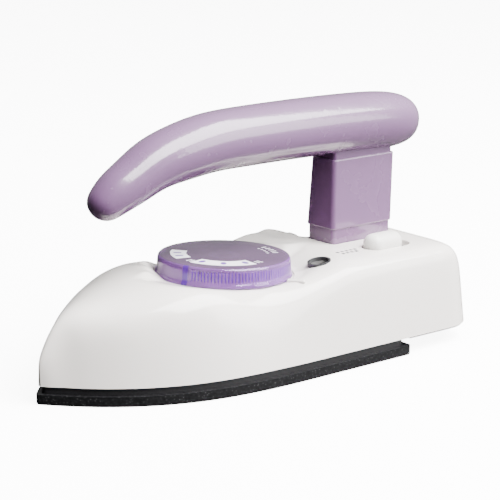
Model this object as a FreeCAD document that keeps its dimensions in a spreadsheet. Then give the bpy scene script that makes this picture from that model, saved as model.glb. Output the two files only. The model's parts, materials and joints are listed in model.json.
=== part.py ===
import FreeCAD, Part
import math
import os
import re

# Compact electric dry iron, used here for melting and spreading wax.
# Millimetres. +Z up, nose towards -X, heel towards +X, the user's left side at -Y.
# The origin is on the work surface, under the middle of the whole iron.
# "Station" below means the distance from the tip of the nose along the iron.

doc = FreeCAD.newDocument("WaxingIron")
V = FreeCAD.Vector

# ---------------------------------------------------------------- driving dimensions
DIMENSIONS = {
    # whole iron
    "total_length": 196.6,
    "middle_station": 98.0,
    "half_width": 41.6,
    "taper_station": 110.0,
    "taper_power": 3.25,
    "heel_corner": 16.0,
    # soleplate, shield and base plate
    "sole_length": 156.0,
    "sole_overhang": 0.9,
    "sole_edge": 4.2,
    "sole_boss_top": 9.0,
    "sole_boss_inset": 9.0,
    "sole_boss_end": 144.0,
    "shield_inset": 0.9,
    "shield_sheet": 0.8,
    "housing_base": 7.2,
    "plate_flange": 0.7,
    "plate_plug": 2.2,
    # heating element
    "tube_radius": 3.3,
    "element_half_gauge": 24.0,
    "element_bend": 70.0,
    "element_turn": 35.0,
    "element_end_station": 145.0,
    "pin_radius": 1.2,
    "pin_length": 8.0,
    # housing shell
    "wall": 2.2,
    "wall_lean": 4.0,
    "shelf_station": 144.0,
    "shelf_share": 0.37,
    "shelf_inner_y": 14.0,
    # dial
    "dial_station": 89.6,
    "dial_seat_z": 36.9,
    "dial_tilt": 2.0,
    "dial_radius": 27.4,
    "dial_lip": 28.1,
    "dial_height": 8.0,
    "dial_wall": 1.8,
    "dial_gap": 0.5,
    "well_radius": 28.9,
    "bowl_lip": 0.5,
    "bowl_rise_front": 0.30,
    "bowl_rise_rear": 0.45,
    "bowl_rise_far": 2.5,
    "well_floor": 2.2,
    "hub_radius": 6.5,
    "spindle_radius": 3.0,
    "spindle_depth": 15.6,
    # selector switch
    "selector_station": 122.4,
    "selector_y": -21.6,
    "selector_z": 41.2,
    "selector_tilt": -9.5,
    "bezel_radius": 4.9,
    "rotor_radius": 4.0,
    # handle release
    "slot_station": 159.2,
    "slot_y": -21.7,
    "slot_length": 24.0,
    "slot_width": 11.0,
    "tab_length": 18.5,
    "tab_height": 5.6,
    "tab_travel": 4.0,
    "deck_z": 42.7,
    # handle
    "pillar_station": 140.9,
    "pillar_length": 33.8,
    "pillar_width": 17.6,
    "pillar_base": 49.0,
    "pillar_top": 78.7,
    "pillar_top_station": 142.4,
    "pillar_top_length": 34.4,
    "pillar_top_width": 15.1,
    "neck_inset": 0.8,
    "neck_top": 83.5,
    "tongue_top": 95.0,
    "foot_inset": 0.6,
    "tenon_bottom": 24.5,
    "grip_half_thickness": 12.3,
    "grip_half_width": 13.5,
    "grip_wall": 2.4,
    # cord inlet
    "cord_y": 25.0,
    "cord_z": 35.2,
    "cord_radius": 3.4,
    "bush_radius": 5.2,
    "bush_length": 13.0,
    # screws
    "screw_radius": 1.5,
    "screw_head": 3.0,
    "stud_radius": 2.0,
}

sheet = doc.addObject("Spreadsheet::Sheet", "Dimensions")
for row, (alias, value) in enumerate(DIMENSIONS.items(), start=1):
    sheet.set("A%d" % row, alias)
    sheet.set("B%d" % row, str(value))
    sheet.setAlias("B%d" % row, alias)
doc.recompute()

# Places of the repeated fasteners: station with y, or station with height for the grip.
STUDS = [(25.0, 0.0), (112.0, 12.0), (112.0, -12.0)]
HEEL_SCREWS = [(182.0, 24.0), (182.0, -24.0)]
GRIP_SCREWS = [(62.0, 88.6), (104.0, 92.9), (182.0, 91.3)]
PILLAR_BOLTS = [9.0, 24.5]
LAMPS = [(78.0, 16.0)]
# How far the cord clamp sits inboard of the cord, and the direction of the dial's pointer rib.
CLAMP_OFFSET = 2.5
RIB_ANGLE = -64
# Printed bands on the dial: inner radius, outer radius, middle direction, half angle.
PRINTED_BANDS = [(14.0, 21.5, -128.5, 38), (15.5, 22.0, 150.5, 21)]

SUBPARTS = []


def dim(alias):
    """A driving dimension, read from the sheet."""
    return float(sheet.get(alias))


def x_of(station):
    """Station from the nose turned into X."""
    return station - dim("middle_station")


def ref(text):
    """An expression with each dimension's name pointed at the sheet."""
    def point(match):
        word = match.group(0)
        return "Dimensions." + word if word in DIMENSIONS else word

    return re.sub(r"[a-z][a-z_]+", point, text)


def bind(obj, **properties):
    """Bind properties of an object to expressions of the sheet's cells."""
    for name, text in properties.items():
        obj.setExpression(name, ref(text))
    return obj


def station(text):
    """The X expression of a station."""
    return "(%s) - middle_station" % text


def move(obj, x="0", y="0", z="0"):
    """Bind an object's place to expressions."""
    obj.setExpression("Placement.Base.x", ref(x))
    obj.setExpression("Placement.Base.y", ref(y))
    obj.setExpression("Placement.Base.z", ref(z))
    return obj


def turned(obj, axis, angle):
    """Give an object a turn about an axis through its own place."""
    obj.Placement = FreeCAD.Placement(V(0, 0, 0), FreeCAD.Rotation(axis, angle))
    return obj


def box(length, width, height, x="0", y="0", z="0"):
    """A box centred on x and y, standing on z."""
    obj = doc.addObject("Part::Box", "Box")
    bind(obj, Length=length, Width=width, Height=height)
    return move(obj, "(%s) - (%s) / 2" % (x, length), "(%s) - (%s) / 2" % (y, width), z)


def cylinder(radius, height, x="0", y="0", z="0", axis="z"):
    """A cylinder starting at its place and running along +x, +y or +z."""
    obj = doc.addObject("Part::Cylinder", "Cylinder")
    bind(obj, Radius=radius, Height=height)
    if axis == "x":
        turned(obj, V(0, 1, 0), 90)
    if axis == "y":
        turned(obj, V(1, 0, 0), -90)
    return move(obj, x, y, z)


def cut(base, *tools):
    """The base with each tool taken away."""
    for tool in tools:
        result = doc.addObject("Part::Cut", "Cut")
        result.Base = base
        result.Tool = tool
        base = result
    return base


def fuse(*shapes):
    """One solid from overlapping ones."""
    result = doc.addObject("Part::MultiFuse", "Fuse")
    result.Shapes = list(shapes)
    return result


def group(*shapes):
    """Separate solids kept as one sub-part."""
    result = doc.addObject("Part::Compound", "Group")
    result.Links = list(shapes)
    return result


def feature(shape, placement=None):
    """A document object that holds a shape worked out in code."""
    obj = doc.addObject("Part::Feature", "Feature")
    obj.Shape = shape
    if placement:
        obj.Placement = placement
    return obj


def subpart(obj, label):
    """Name an object as one of the iron's sub-parts."""
    obj.Label = label
    SUBPARTS.append(obj)
    return obj


def is_vertical(edge):
    """Whether an edge is a straight upright line."""
    ends = [v.Point for v in edge.Vertexes]
    return len(ends) == 2 and (ends[1] - ends[0]).getAngle(V(0, 0, 1)) % math.pi < 0.01


# ---------------------------------------------------------------- outline in plan
def plan_half_width(at):
    """Half the iron's width at a station: a pointed bow that fairs into straight sides."""
    ahead = max(0.0, 1 - at / dim("taper_station"))
    return dim("half_width") * (1 - ahead ** dim("taper_power"))


def plan_slope(at):
    """How fast the half width grows at a station."""
    ahead = max(0.0, 1 - at / dim("taper_station"))
    return dim("half_width") * dim("taper_power") / dim("taper_station") * ahead ** (dim("taper_power") - 1)


def inset_half_width(at, inset):
    """Half width of an outline that runs inside the iron's own at an even distance."""
    return plan_half_width(at) - inset * math.hypot(1, plan_slope(at))


def nose_station(inset, half_width):
    """Where an inset outline first reaches a half width, found by halving."""
    low, high = 0.0, dim("taper_station")
    for _ in range(50):
        middle = (low + high) / 2
        if inset_half_width(middle, inset) < half_width:
            low = middle
        else:
            high = middle
    return high


def outline_prism(inset, end_station, bottom, top, corner=0.0, tip=2.4):
    """An upright prism on an inset outline, with a rounded nose and a straight heel end."""
    start = nose_station(inset, tip)
    straight_from = dim("taper_station")
    end_of_curve = min(straight_from, end_station - corner - 1)
    steps = 14
    side = []
    for i in range(steps + 1):
        at = start + (end_of_curve - start) * (i / steps) ** 1.4
        side.append(V(x_of(at), -inset_half_width(at, inset), bottom))
    left = Part.BSplineCurve()
    left.interpolate(side)
    mirrored = [V(p.x, -p.y, p.z) for p in side]
    right = Part.BSplineCurve()
    right.interpolate(mirrored)
    nose = Part.Arc(mirrored[0], V(x_of(start) - 0.45 * tip, 0, bottom), side[0])
    heel_left = V(x_of(end_station), side[-1].y, bottom)
    heel_right = V(x_of(end_station), -side[-1].y, bottom)
    edges = [nose.toShape(), left.toShape(), Part.makeLine(side[-1], heel_left),
             Part.makeLine(heel_left, heel_right), Part.makeLine(heel_right, mirrored[-1]), right.toShape()]
    face = Part.Face(Part.Wire(Part.__sortEdges__(edges)))
    solid = face.extrude(V(0, 0, top - bottom))
    if corner:
        heel = [e for e in solid.Edges
                if is_vertical(e) and abs(e.Vertexes[0].Point.x - x_of(end_station)) < 0.01]
        solid = solid.makeFillet(corner, heel)
    return solid


# ---------------------------------------------------------------- moulded housing form
# Height of the housing's middle line: nose, brow, seat of the dial, rear deck, tail.
CREST = [
    (0.7, 16.5), (1.8, 19.6), (3.5, 23.0), (6.0, 27.0), (9.0, 30.3), (13.0, 33.2), (18.0, 35.4),
    (25.0, 37.4), (34.0, 39.6), (44.0, 41.8), (54.0, 43.0), (64.0, 42.6), (76.0, 40.2),
    (90.0, 38.4), (104.0, 38.6), (118.0, 40.8), (130.0, 42.7), (146.0, 42.8), (170.0, 42.7),
    (182.0, 42.4), (186.5, 41.0), (189.3, 38.6), (191.6, 34.8), (193.5, 29.4), (195.0, 22.4),
    (196.1, 15.0), (196.6, 9.8),
]
# Height at which the side walls fold over into the roof.
CREASE = [
    (0.7, 15.0), (2.0, 19.0), (13.0, 26.0), (25.0, 31.5), (35.0, 34.3), (45.0, 36.6), (53.0, 37.2),
    (62.0, 36.4), (70.0, 34.2), (79.0, 31.5), (86.0, 31.0), (94.0, 32.8), (104.0, 36.0),
    (116.0, 39.2), (130.0, 41.8), (196.6, 42.0),
]


def ease_step(value, start, width):
    """A smooth step from 0 to 1."""
    t = min(1.0, max(0.0, (value - start) / width))
    return t * t * (3 - 2 * t)


def ramp(value, start, width, low, high):
    """A straight change from one value to another, level on either side of it."""
    return low + (high - low) * min(1.0, max(0.0, (value - start) / width))


def read_curve(table, at):
    """A height read off a table of stations, joined by a smooth curve."""
    last = len(table) - 1
    i = max(k for k in range(last) if k == 0 or table[k][0] <= at)

    def slope(k):
        before, after = table[max(0, k - 1)], table[min(last, k + 1)]
        return (after[1] - before[1]) / (after[0] - before[0])

    span = table[i + 1][0] - table[i][0]
    t = (at - table[i][0]) / span
    start, end = table[i][1], table[i + 1][1]
    leave, arrive = span * slope(i), span * slope(i + 1)
    return (start * (2 * t ** 3 - 3 * t ** 2 + 1) + leave * (t ** 3 - 2 * t ** 2 + t)
            + end * (3 * t ** 2 - 2 * t ** 3) + arrive * (t ** 3 - t ** 2))


def shelf(at, y):
    """Share of the height taken off the right-hand rear deck, where the cord leaves."""
    along = ease_step(at, dim("shelf_station") - 4, 8.0)
    across = ease_step(y, dim("shelf_inner_y") - 4, 8.0)
    return dim("shelf_share") * along * across


def heel_half_width(at, inset):
    """Half width with the rounded heel corners taken off."""
    width = inset_half_width(at, inset)
    corner = dim("heel_corner") - inset
    past = at - (dim("total_length") - inset - corner)
    if past > 0:
        width -= corner - math.sqrt(max(0.0, corner ** 2 - past ** 2))
    return width


def roof_reach(across, rise, top, fold, fold_y, power):
    """Distance out to the domed roof in one direction, found by halving."""
    near, far = 0.0, 300.0
    for _ in range(40):
        middle = (near + far) / 2
        if middle * rise < top - (top - fold) * (middle * across / fold_y) ** power:
            near = middle
        else:
            far = middle
    return near


def bowl_height(at, y):
    """Height of the shallow bowl round the dial: gentle on the near side, steep on the far side."""
    along, tilt = at - dim("dial_station"), math.tan(math.radians(dim("dial_tilt")))
    out = math.hypot(along, y)
    rise = ramp(along / max(out, 1.0), -0.2, 0.8, dim("bowl_rise_front"), dim("bowl_rise_rear"))
    rise += ramp(y / max(out, 1.0), 0.0, 0.5, 0.0, dim("bowl_rise_far"))
    seat = dim("dial_seat_z") + dim("bowl_lip") - tilt * min(max(along, -30.0), 30.0)
    return seat + rise * max(0.0, out - dim("well_radius"))


def lower_of(first, second, sharpness=1.5):
    """The lower of two heights, rounded off where they meet."""
    gap = abs(first - second)
    return min(first, second) - math.log1p(math.exp(-sharpness * gap)) / sharpness


def section_row(at, width, top, fold, low, inset):
    """One row of points over the housing: leaning walls that blend into a domed roof."""
    steps = 44
    lean = min(dim("wall_lean"), 0.45 * width)
    power = ramp(at, 25.0, 45.0, 2.2, 5.0)
    blend = ramp(at, 0.0, 110.0, 9.0, 14.0)
    row = []
    for i in range(steps + 1):
        turn = math.pi * i / steps
        toward = V(math.cos(turn) * width, 0.0 if i in (0, steps) else math.sin(turn) * top, 0)
        toward.normalize()
        across, rise = abs(toward.x), toward.y
        wall_reach = width / (across + lean / fold * rise)
        roof = roof_reach(across, rise, top, fold, width - lean, power)
        reach = (wall_reach ** -blend + roof ** -blend) ** (-1 / blend)
        y = -reach * toward.x
        height = reach * rise
        if height > 0.6 * top:
            height = lower_of(height, bowl_height(at, y) - inset - low)
        row.append(V(x_of(at), y, low + height * (1 - shelf(at, y))))
    return row


def row_stations(first, last):
    """Stations of the rows: the crest's own ones, and more between those that are far apart."""
    stations = [first]
    for at in [at for at, _ in CREST if first + 0.4 < at < last - 0.4] + [last]:
        before = stations[-1]
        pieces = math.ceil((at - before) / 6.0)
        stations += [before + (at - before) * (i + 1) / pieces for i in range(pieces)]
    return stations


def housing_rows(inset, low, stations):
    """Rows of points of the housing's form, or of the form one inset inside it."""
    rows = []
    for at in stations:
        slope = (read_curve(CREST, at + 0.1) - read_curve(CREST, at - 0.1)) / 0.2 if inset else 0.0
        top = read_curve(CREST, at) - inset * math.hypot(1, slope) - low
        fold = min(read_curve(CREASE, at) - inset - low, top - 0.6)
        rows.append(section_row(at, heel_half_width(at, inset), top, fold, low, inset))
    return rows


def skinned_solid(rows):
    """A closed solid from rows of points that share a flat base, capped at both ends."""
    surface = Part.BSplineSurface()
    surface.interpolate(rows)
    skin = surface.toShape()
    first, last = rows[0], rows[-1]
    left = surface.vIso(surface.bounds()[2]).toShape()
    right = surface.vIso(surface.bounds()[3]).toShape()
    nose_arc = surface.uIso(surface.bounds()[0]).toShape()
    tail_arc = surface.uIso(surface.bounds()[1]).toShape()
    nose_line = Part.makeLine(first[0], first[-1])
    tail_line = Part.makeLine(last[0], last[-1])
    base = Part.Face(Part.Wire(Part.__sortEdges__([left, tail_line, right, nose_line])))
    nose = Part.Face(Part.Wire(Part.__sortEdges__([nose_arc, nose_line])))
    tail = Part.Face(Part.Wire(Part.__sortEdges__([tail_arc, tail_line])))
    shell = Part.Shell([skin, base, nose, tail])
    shell.sewShape()
    solid = Part.Solid(shell)
    if solid.Volume < 0:
        solid.reverse()
    return solid


def housing_outer():
    """The housing's outer form."""
    stations = row_stations(CREST[0][0], CREST[-1][0])
    return skinned_solid(housing_rows(0.0, dim("housing_base"), stations))


def housing_inner():
    """The hollow inside the housing, one wall thickness in."""
    wall = dim("wall")
    stations = row_stations(nose_station(wall, 2.5) + 0.5, dim("total_length") - 2 * wall)
    return skinned_solid(housing_rows(wall, dim("housing_base") - 1, stations))


# ---------------------------------------------------------------- tilted frames
def tilted_place(at, y, z, tilt):
    """The placement of pieces built about an axis that leans along the iron."""
    return FreeCAD.Placement(V(x_of(at), y, z), FreeCAD.Rotation(V(0, 1, 0), tilt))


def dial_place():
    """Local frame of the dial: on its axis, at the seat."""
    return tilted_place(dim("dial_station"), 0, dim("dial_seat_z"), dim("dial_tilt"))


def selector_place():
    """Local frame of the selector switch: on its axis, at the deck."""
    return tilted_place(dim("selector_station"), dim("selector_y"), dim("selector_z"), dim("selector_tilt"))


def disc(radius, bottom, top, place, bore=0.0):
    """A round piece between two heights of a local frame."""
    solid = Part.makeCylinder(radius, top - bottom, V(0, 0, bottom))
    if bore:
        solid = solid.cut(Part.makeCylinder(bore, top - bottom + 2, V(0, 0, bottom - 1)))
    solid.Placement = place
    return solid


def stadium(length, width, bottom, top, at, y):
    """A long round-ended prism along X."""
    half = (length - width) / 2
    low, high = x_of(at) - half, x_of(at) + half
    radius = width / 2
    edges = [Part.makeLine(V(low, y - radius, bottom), V(high, y - radius, bottom)),
             Part.Arc(V(high, y - radius, bottom), V(high + radius, y, bottom), V(high, y + radius, bottom)).toShape(),
             Part.makeLine(V(high, y + radius, bottom), V(low, y + radius, bottom)),
             Part.Arc(V(low, y + radius, bottom), V(low - radius, y, bottom), V(low, y - radius, bottom)).toShape()]
    return Part.Face(Part.Wire(edges)).extrude(V(0, 0, top - bottom))


def block(at_from, at_to, y_from, y_to, z_from, z_to):
    """A plain box between two stations."""
    return Part.makeBox(at_to - at_from, y_to - y_from, z_to - z_from, V(x_of(at_from), y_from, z_from))


def upright(radius, at, y, bottom, top):
    """An upright round bar."""
    return Part.makeCylinder(radius, top - bottom, V(x_of(at), y, bottom))


def rounded_block(at_from, at_to, y_half, z_from, z_to, corner):
    """A box centred on the iron's middle plane with rounded upright edges."""
    solid = block(at_from, at_to, -y_half, y_half, z_from, z_to)
    return solid.makeFillet(corner, [e for e in solid.Edges if is_vertical(e)])


def rod(points, radius):
    """A round rod along points, with a ball at each bend."""
    pieces = []
    for start, end in zip(points, points[1:]):
        run = end - start
        pieces.append(Part.makeCylinder(radius, run.Length, start, run))
    for corner in points[1:-1]:
        pieces.append(Part.makeSphere(radius, corner))
    return pieces[0].multiFuse(pieces[1:]).removeSplitter()


# ---------------------------------------------------------------- sole and element
def element_path(z):
    """The element's path: two straight legs that bend in and meet in an arc at the nose."""
    gauge, bend = dim("element_half_gauge"), dim("element_bend")
    turn = math.radians(dim("element_turn"))
    bend_station = 86.0

    def bent(angle, side):
        return V(x_of(bend_station - bend * math.sin(angle)), side * (gauge - bend * (1 - math.cos(angle))), z)

    inner_y = gauge - bend * (1 - math.cos(turn))
    nose_radius = inner_y / math.cos(turn)
    nose_centre = bent(turn, 1).x + nose_radius * math.sin(turn)
    nose = V(nose_centre - nose_radius, 0, z)
    ends = [V(x_of(dim("element_end_station")), side * gauge, z) for side in (1, -1)]
    straights = [V(x_of(bend_station), side * gauge, z) for side in (1, -1)]
    return Part.Wire([
        Part.makeLine(ends[1], straights[1]),
        Part.Arc(straights[1], bent(turn / 2, -1), bent(turn, -1)).toShape(),
        Part.Arc(bent(turn, -1), nose, bent(turn, 1)).toShape(),
        Part.Arc(bent(turn, 1), bent(turn / 2, 1), straights[0]).toShape(),
        Part.makeLine(straights[0], ends[0]),
    ])


def element_tube():
    """The round tube of the heating element."""
    path = element_path(dim("sole_boss_top"))
    start = path.Edges[0].Vertexes[0].Point
    ring = Part.Wire(Part.makeCircle(dim("tube_radius"), start, V(1, 0, 0)))
    return path.makePipeShell([ring], True, False)


def make_sole():
    """Cast soleplate with a raised pad that holds the element, and the studs that hold the housing."""
    plate = outline_prism(-dim("sole_overhang"), dim("sole_length"), 0, dim("sole_edge"), corner=2.0, tip=1.33)
    rim = [e for e in plate.Edges if abs(e.BoundBox.ZMax) < 0.001]
    plate = plate.makeFillet(0.8, rim)
    pad = outline_prism(dim("sole_boss_inset"), dim("sole_boss_end"), dim("sole_edge"), dim("sole_boss_top"),
                        corner=5.0)
    tube = element_tube()
    sole = plate.fuse(pad).cut(tube)
    for at, y in STUDS:
        sole = sole.cut(upright(dim("stud_radius"), at, y, 4.5, 12))
    subpart(feature(sole), "soleplate")
    subpart(feature(tube), "heating_element")
    studs = [cylinder("stud_radius", "12", station(str(at)), str(y), "4.5") for at, y in STUDS]
    subpart(group(*studs), "sole_studs")


def make_element_ends():
    """Pins at the element's two cold ends, and the beads that insulate them."""
    pins, beads = [], []
    for side in ("", "-"):
        y = side + "element_half_gauge"
        pins.append(cylinder("pin_radius", "pin_length", station("element_end_station"), y, "sole_boss_top", "x"))
        bead = cylinder("tube_radius - 0.4", "3", station("element_end_station"), y, "sole_boss_top", "x")
        bore = cylinder("pin_radius", "3", station("element_end_station"), y, "sole_boss_top", "x")
        beads.append(cut(bead, bore))
    subpart(group(*pins), "element_terminals")
    subpart(group(*beads), "element_insulators")


def make_heat_shield():
    """Pressed steel tray between the hot sole and the plastic housing: the dark band seen from outside."""
    inset, sheet_thickness = dim("shield_inset"), dim("shield_sheet")
    end = dim("sole_length") - inset
    base, top = dim("sole_edge"), dim("housing_base")
    tray = outline_prism(inset, end, base, top, corner=6.0)
    hollow = outline_prism(inset + sheet_thickness, end - sheet_thickness, base, top - sheet_thickness, corner=5.2)
    opening = outline_prism(dim("sole_boss_inset") - 1.5, end - 6, base, top, corner=5.0)
    subpart(feature(tray.cut(hollow).cut(opening)), "heat_shield")


def make_base_plate():
    """Black plate that closes the housing behind the sole, with its plug inside the shell."""
    base, wall = dim("housing_base"), dim("wall")
    start = dim("sole_length") + 0.3
    flange = housing_slice(0.7, base - dim("plate_flange"), base).common(block(start, 200, -50, 50, 0, 30))
    plug_body = housing_slice(wall + 0.7, base, base + dim("plate_plug"))
    plug = plug_body.common(block(start, 190.8, -50, 50, 0, 30))
    plate = flange.fuse(plug)
    for at, y in HEEL_SCREWS:
        plate = plate.cut(upright(dim("screw_radius"), at, y, 0, 30))
        plate = plate.cut(upright(dim("screw_head"), at, y, 0, base + 0.9))
    subpart(feature(plate), "base_plate")


def housing_slice(inset, bottom, top):
    """A flat prism on the housing's own outline, heel corners rounded."""
    steps = 60
    first, last = nose_station(inset, 2.0), dim("total_length") - inset - 0.01
    side = []
    for i in range(steps + 1):
        at = last - (last - first) * (1 - i / steps) ** 1.6
        side.append(V(x_of(at), -heel_half_width(at, inset), bottom))
    left = Part.BSplineCurve()
    left.interpolate(side)
    right = Part.BSplineCurve()
    right.interpolate([V(p.x, -p.y, p.z) for p in side])
    edges = [left.toShape(), right.toShape(),
             Part.makeLine(side[0], V(side[0].x, -side[0].y, bottom)),
             Part.makeLine(side[-1], V(side[-1].x, -side[-1].y, bottom))]
    return Part.Face(Part.Wire(Part.__sortEdges__(edges))).extrude(V(0, 0, top - bottom))


# ---------------------------------------------------------------- housing
def pointer_rib():
    """Small raised rib on the deck that the dial is read against, rounded at its outer end."""
    radius, length = 0.9, 7.8
    start = V(dim("dial_lip") + 0.6, 0, 0.85)
    rib = Part.makeCylinder(radius, length, start, V(1, 0, 0.05))
    outer_end = max(rib.Edges, key=lambda edge: edge.CenterOfMass.x)
    rib = rib.makeFillet(0.75, [outer_end])
    turn = FreeCAD.Placement(V(0, 0, 0), FreeCAD.Rotation(V(0, 0, 1), RIB_ANGLE))
    rib.Placement = dial_place().multiply(turn)
    return rib


def cord_bar(radius, start, length):
    """A round bar along the cord's way in, from a station towards the heel."""
    return Part.makeCylinder(radius, length, V(x_of(start), dim("cord_y"), dim("cord_z")), V(1, 0, 0))


def bush_station():
    """Where the cord bush begins."""
    return dim("shelf_station") - dim("bush_length") + 2


def cord_saddle(outer):
    """Saddle moulded under the deck that the cord clamp is screwed up to."""
    middle = dim("cord_y") - CLAMP_OFFSET
    saddle = block(115, 123, middle - 7, middle + 7, dim("cord_z") - 1.8, 60).common(outer)
    for side in (-1, 1):
        saddle = saddle.cut(upright(dim("screw_radius"), 119, middle + side * 5, 20, 37))
    return saddle


def make_housing():
    """White moulded shell: dial well, selector hole, slide slot, handle opening, cord inlet."""
    outer = housing_outer()
    shell = outer.cut(housing_inner())
    above = 60.0
    screw_boss_base = dim("housing_base") + dim("plate_plug")
    bosses = [upright(4.2, at, y, 12.5, above) for at, y in STUDS]
    bosses += [upright(4.0, at, y, screw_boss_base, above) for at, y in HEEL_SCREWS]
    bosses.append(disc(dim("well_radius") + 2, -dim("well_floor"), 20, dial_place()))
    bosses.append(cord_bar(6.9, bush_station() - 8.5, 19))
    for boss in bosses:
        shell = shell.fuse(boss.common(outer))
    slot_at, slot_y = dim("slot_station"), dim("slot_y")
    slot = stadium(dim("slot_length"), dim("slot_width"), 30, above, slot_at, slot_y)
    shell = shell.cut([disc(dim("well_radius"), 0, 30, dial_place()),
                       disc(dim("hub_radius") + 1.5, -10, 1, dial_place())])
    shell = shell.cut([disc(dim("bezel_radius"), -20, 10, selector_place()), slot])
    shell = shell.cut(handle_opening(0.35, 24, above))
    shell = shell.cut(cord_bar(dim("bush_radius"), bush_station(), 30))
    shell = shell.cut(cord_bar(dim("cord_radius"), 115, 52))
    shell = shell.cut(cord_bar(dim("bush_radius") + 1.2, bush_station() + dim("bush_length"), 20))
    shell = shell.fuse(cord_saddle(outer))
    shell = shell.cut(socket_outline(0.3))
    for at, y in STUDS:
        shell = shell.cut(upright(dim("stud_radius"), at, y, 0, 17))
    for at, y in HEEL_SCREWS:
        shell = shell.cut(upright(dim("screw_radius"), at, y, 0, 20.6))
    for at, y in LAMPS:
        shell = shell.cut(upright(2.6, at, y, 30, 40))
    shell = shell.fuse(pointer_rib().cut(disc(dim("well_radius"), -5, 30, dial_place())))
    subpart(feature(shell), "housing")
    return shell


def socket_outline(grow):
    """The socket's outside under the deck, grown by a clearance."""
    start, end = dim("pillar_station"), dim("pillar_station") + dim("pillar_length")
    top = dim("deck_z") - dim("wall") - 0.8
    half = dim("pillar_width") / 2 + 0.8 + grow
    return rounded_block(start + 0.8 - grow, end - 0.8 + grow, half, 21.5, top + grow, 1.4 + grow)


def foot_box(grow, z_from, z_to):
    """The handle's foot, grown by a clearance."""
    inset = dim("foot_inset")
    start = dim("pillar_station") + inset - grow
    end = dim("pillar_station") + dim("pillar_length") - inset + grow
    half = dim("pillar_width") / 2 - inset + grow
    return rounded_block(start, end, half, z_from, z_to, 1.6 + grow)


def handle_opening(gap, z_from, z_to):
    """The hole in the deck that the foot passes through."""
    return foot_box(gap, z_from, z_to)


def make_heel_screws():
    """Screws that hold the base plate to the housing."""
    screws = []
    for at, y in HEEL_SCREWS:
        shank = cylinder("screw_radius", "12", station(str(at)), str(y), "housing_base + 0.9")
        head = cylinder("screw_head - 0.1", "1.6", station(str(at)), str(y), "housing_base - 0.7")
        slot = box("5", "0.8", "0.8", station(str(at)), str(y), "housing_base - 0.7")
        screws.append(cut(fuse(shank, head), slot))
    subpart(group(*screws), "heel_screws")


def make_cord_inlet():
    """Rubber bush that the supply cord would pass through, and the clamp for it inside."""
    y, z = dim("cord_y"), dim("cord_z")
    radius, length = dim("bush_radius"), dim("bush_length")
    lip = Part.makeCone(radius + 0.9, radius, 2.2, V(x_of(bush_station() + length), y, z), V(1, 0, 0))
    bush = cord_bar(radius, bush_station(), length).fuse(lip)
    subpart(feature(bush.cut(cord_bar(dim("cord_radius"), bush_station() - 5, 40))), "cord_bush")
    bar = box("8", "14", "2", station("119"), "cord_y - %s" % CLAMP_OFFSET, "cord_z - 11")
    screws = []
    for side in (-5, 5):
        place = (station("119"), "cord_y + %s" % (side - CLAMP_OFFSET))
        bar = cut(bar, cylinder("screw_radius", "6", *place, "cord_z - 13"))
        shank = cylinder("screw_radius", "12", *place, "cord_z - 11.2")
        head = cylinder("2.4", "1.4", *place, "cord_z - 12.4")
        screws.append(fuse(shank, head))
    subpart(bar, "cord_clamp_bar")
    subpart(group(*screws), "cord_clamp_screws")


# ---------------------------------------------------------------- dial and thermostat
def revolved(profile, place):
    """A round solid from a half profile of (radius, height) points in a local frame."""
    points = [V(r, 0, z) for r, z in profile]
    face = Part.Face(Part.makePolygon(points + [points[0]]))
    solid = face.revolve(V(0, 0, 0), V(0, 0, 1), 360)
    solid.Placement = place
    return solid


def make_dial_cap():
    """Clear shallow cap: flared lip, upright grip band, bevelled rim, flat top."""
    low, top, wall = dim("dial_gap"), dim("dial_gap") + dim("dial_height"), dim("dial_wall")
    rim, lip = dim("dial_radius"), dim("dial_lip")
    inner = rim - wall
    profile = [(3.2, top - wall), (inner, top - wall), (inner, low), (lip, low), (lip, low + 1.1),
               (rim + 0.1, low + 1.9), (rim - 0.2, top - 1.1), (rim - 1.2, top), (0, top), (0, top - wall)]
    subpart(feature(revolved(profile, dial_place())), "dial_cap")


def sector(inner, outer, middle, half_angle, bottom, top):
    """A flat ring sector in the dial's local frame, its middle at an angle about the axis."""
    ring = disc(outer, bottom, top, FreeCAD.Placement(), inner)
    reach = outer * 2
    left = V(reach * math.cos(math.radians(half_angle)), reach * math.sin(math.radians(half_angle)), bottom)
    wedge = Part.Face(Part.makePolygon([V(0, 0, bottom), V(left.x, -left.y, bottom), V(reach, 0, bottom),
                                        left, V(0, 0, bottom)])).extrude(V(0, 0, top - bottom))
    piece = ring.common(wedge)
    piece.rotate(V(0, 0, 0), V(0, 0, 1), middle)
    piece.Placement = dial_place().multiply(piece.Placement)
    return piece


def make_dial_scale():
    """Printed bands on the cap's top: one for the middle heats, one for the low end."""
    top = dim("dial_gap") + dim("dial_height")
    bands = [sector(*band, top, top + 0.1) for band in PRINTED_BANDS]
    subpart(group(*[feature(band) for band in bands]), "dial_scale")


def make_spindle_group():
    """What turns with the dial: its hub, the clip under it and the thermostat's spindle."""
    hub_top = dim("dial_gap") + dim("dial_height") - dim("dial_wall")
    spindle = dim("spindle_radius")
    hub = disc(dim("hub_radius"), 2.2, hub_top, dial_place(), spindle)
    subpart(feature(hub), "dial_hub")
    clip = disc(spindle + 1.4, 1.2, 2.2, dial_place(), spindle)
    slit = Part.makeBox(6, 1.6, 4, V(1, -0.8, 0))
    slit.Placement = dial_place()
    subpart(feature(clip.cut(slit)), "hub_clip")
    shaft = disc(spindle, -dim("spindle_depth"), hub_top - 0.4, dial_place())
    tip = disc(1.2, -dim("spindle_depth") - 1.0, -dim("spindle_depth"), dial_place())
    subpart(feature(shaft.fuse(tip)), "thermostat_spindle")


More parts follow.
